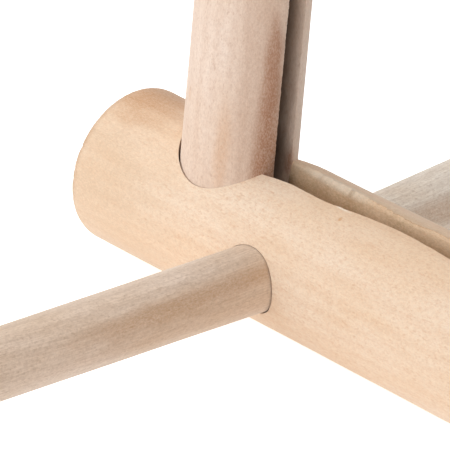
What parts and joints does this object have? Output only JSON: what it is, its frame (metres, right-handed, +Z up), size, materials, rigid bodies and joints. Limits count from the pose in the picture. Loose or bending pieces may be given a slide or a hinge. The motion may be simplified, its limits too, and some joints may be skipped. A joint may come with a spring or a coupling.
{
  "type": "rigid heddle table loom",
  "caption": "Bare wooden table loom of round bars: slotted uprights hold a lifting heddle, with ratcheted cloth and warp rollers at front and rear.",
  "frame": {"origin": "centre of the loom on the table, under the centre bar", "axes": "+X along the bars to the weaver's right, +Y from the weaver to the back, +Z up"},
  "size_m": [0.397, 0.6122, 0.2495],
  "materials": {
    "beech_bar": "sanded, unvarnished",
    "beech_upright": "sanded, unvarnished",
    "beech_rail": "sanded, unvarnished",
    "beech_heddle": "sanded, unvarnished",
    "beech_peg": "sanded, unvarnished",
    "beech_roller": "turned and sanded",
    "nylon": "moulded satin",
    "steel": "brushed",
    "brass": "satin",
    "felt": "pressed felt"
  },
  "bodies": {
    "frame": {"centre_bar": "beech_bar", "front_bar": "beech_bar", "rear_bar": "beech_bar", "left_upright": "beech_upright", "right_upright": "beech_upright", "front_left_rail": "beech_rail", "front_right_rail": "beech_rail", "rear_left_rail": "beech_rail", "rear_right_rail": "beech_rail", "front_left_post": "beech_upright", "front_right_post": "beech_upright", "rear_left_post": "beech_upright", "rear_right_post": "beech_upright", "foot_pads": "felt", "pawl_screws": "brass"},
    "heddle": {"heddle_top_lath": "beech_heddle", "heddle_bottom_lath": "beech_heddle", "heddle_left_stile": "beech_heddle", "heddle_right_stile": "beech_heddle", "heddle_dents": "nylon"},
    "left_peg": {"left_peg": "beech_peg"},
    "right_peg": {"right_peg": "beech_peg"},
    "cloth_roller": {"cloth_roller": "beech_roller", "cloth_stick": "beech_peg", "cloth_ratchet": "steel", "cloth_knob": "beech_roller", "cloth_knob_screw": "brass", "cloth_collar": "steel", "cloth_pins": "brass"},
    "warp_roller": {"warp_roller": "beech_roller", "warp_stick": "beech_peg", "warp_ratchet": "steel", "warp_knob": "beech_roller", "warp_knob_screw": "brass", "warp_collar": "steel", "warp_pins": "brass"},
    "cloth_pawl": {"cloth_pawl": "steel"},
    "warp_pawl": {"warp_pawl": "steel"}
  },
  "joints": [
    {"name": "heddle_lift", "type": "slide", "parent": "frame", "child": "heddle", "axis": [0, 0, 1], "range_m": [0, 0.055]},
    {"name": "left_peg_pull", "type": "slide", "parent": "frame", "child": "left_peg", "axis": [0, -1, 0], "range_m": [0, 0.035]},
    {"name": "right_peg_pull", "type": "slide", "parent": "frame", "child": "right_peg", "axis": [0, -1, 0], "range_m": [0, 0.035]},
    {"name": "cloth_roller_turn", "type": "hinge", "parent": "frame", "child": "cloth_roller", "pos_m": [0, -0.28, 0.1045], "axis": [1, 0, 0], "continuous": true},
    {"name": "warp_roller_turn", "type": "hinge", "parent": "frame", "child": "warp_roller", "pos_m": [0, 0.28, 0.1045], "axis": [-1, 0, 0], "continuous": true},
    {"name": "cloth_pawl_swing", "type": "hinge", "parent": "frame", "child": "cloth_pawl", "pos_m": [0.15, -0.28, 0.1385], "axis": [-1, 0, 0], "range_deg": [0, 75]},
    {"name": "warp_pawl_swing", "type": "hinge", "parent": "frame", "child": "warp_pawl", "pos_m": [0.15, 0.28, 0.1385], "axis": [1, 0, 0], "range_deg": [0, 75]}
  ]
}
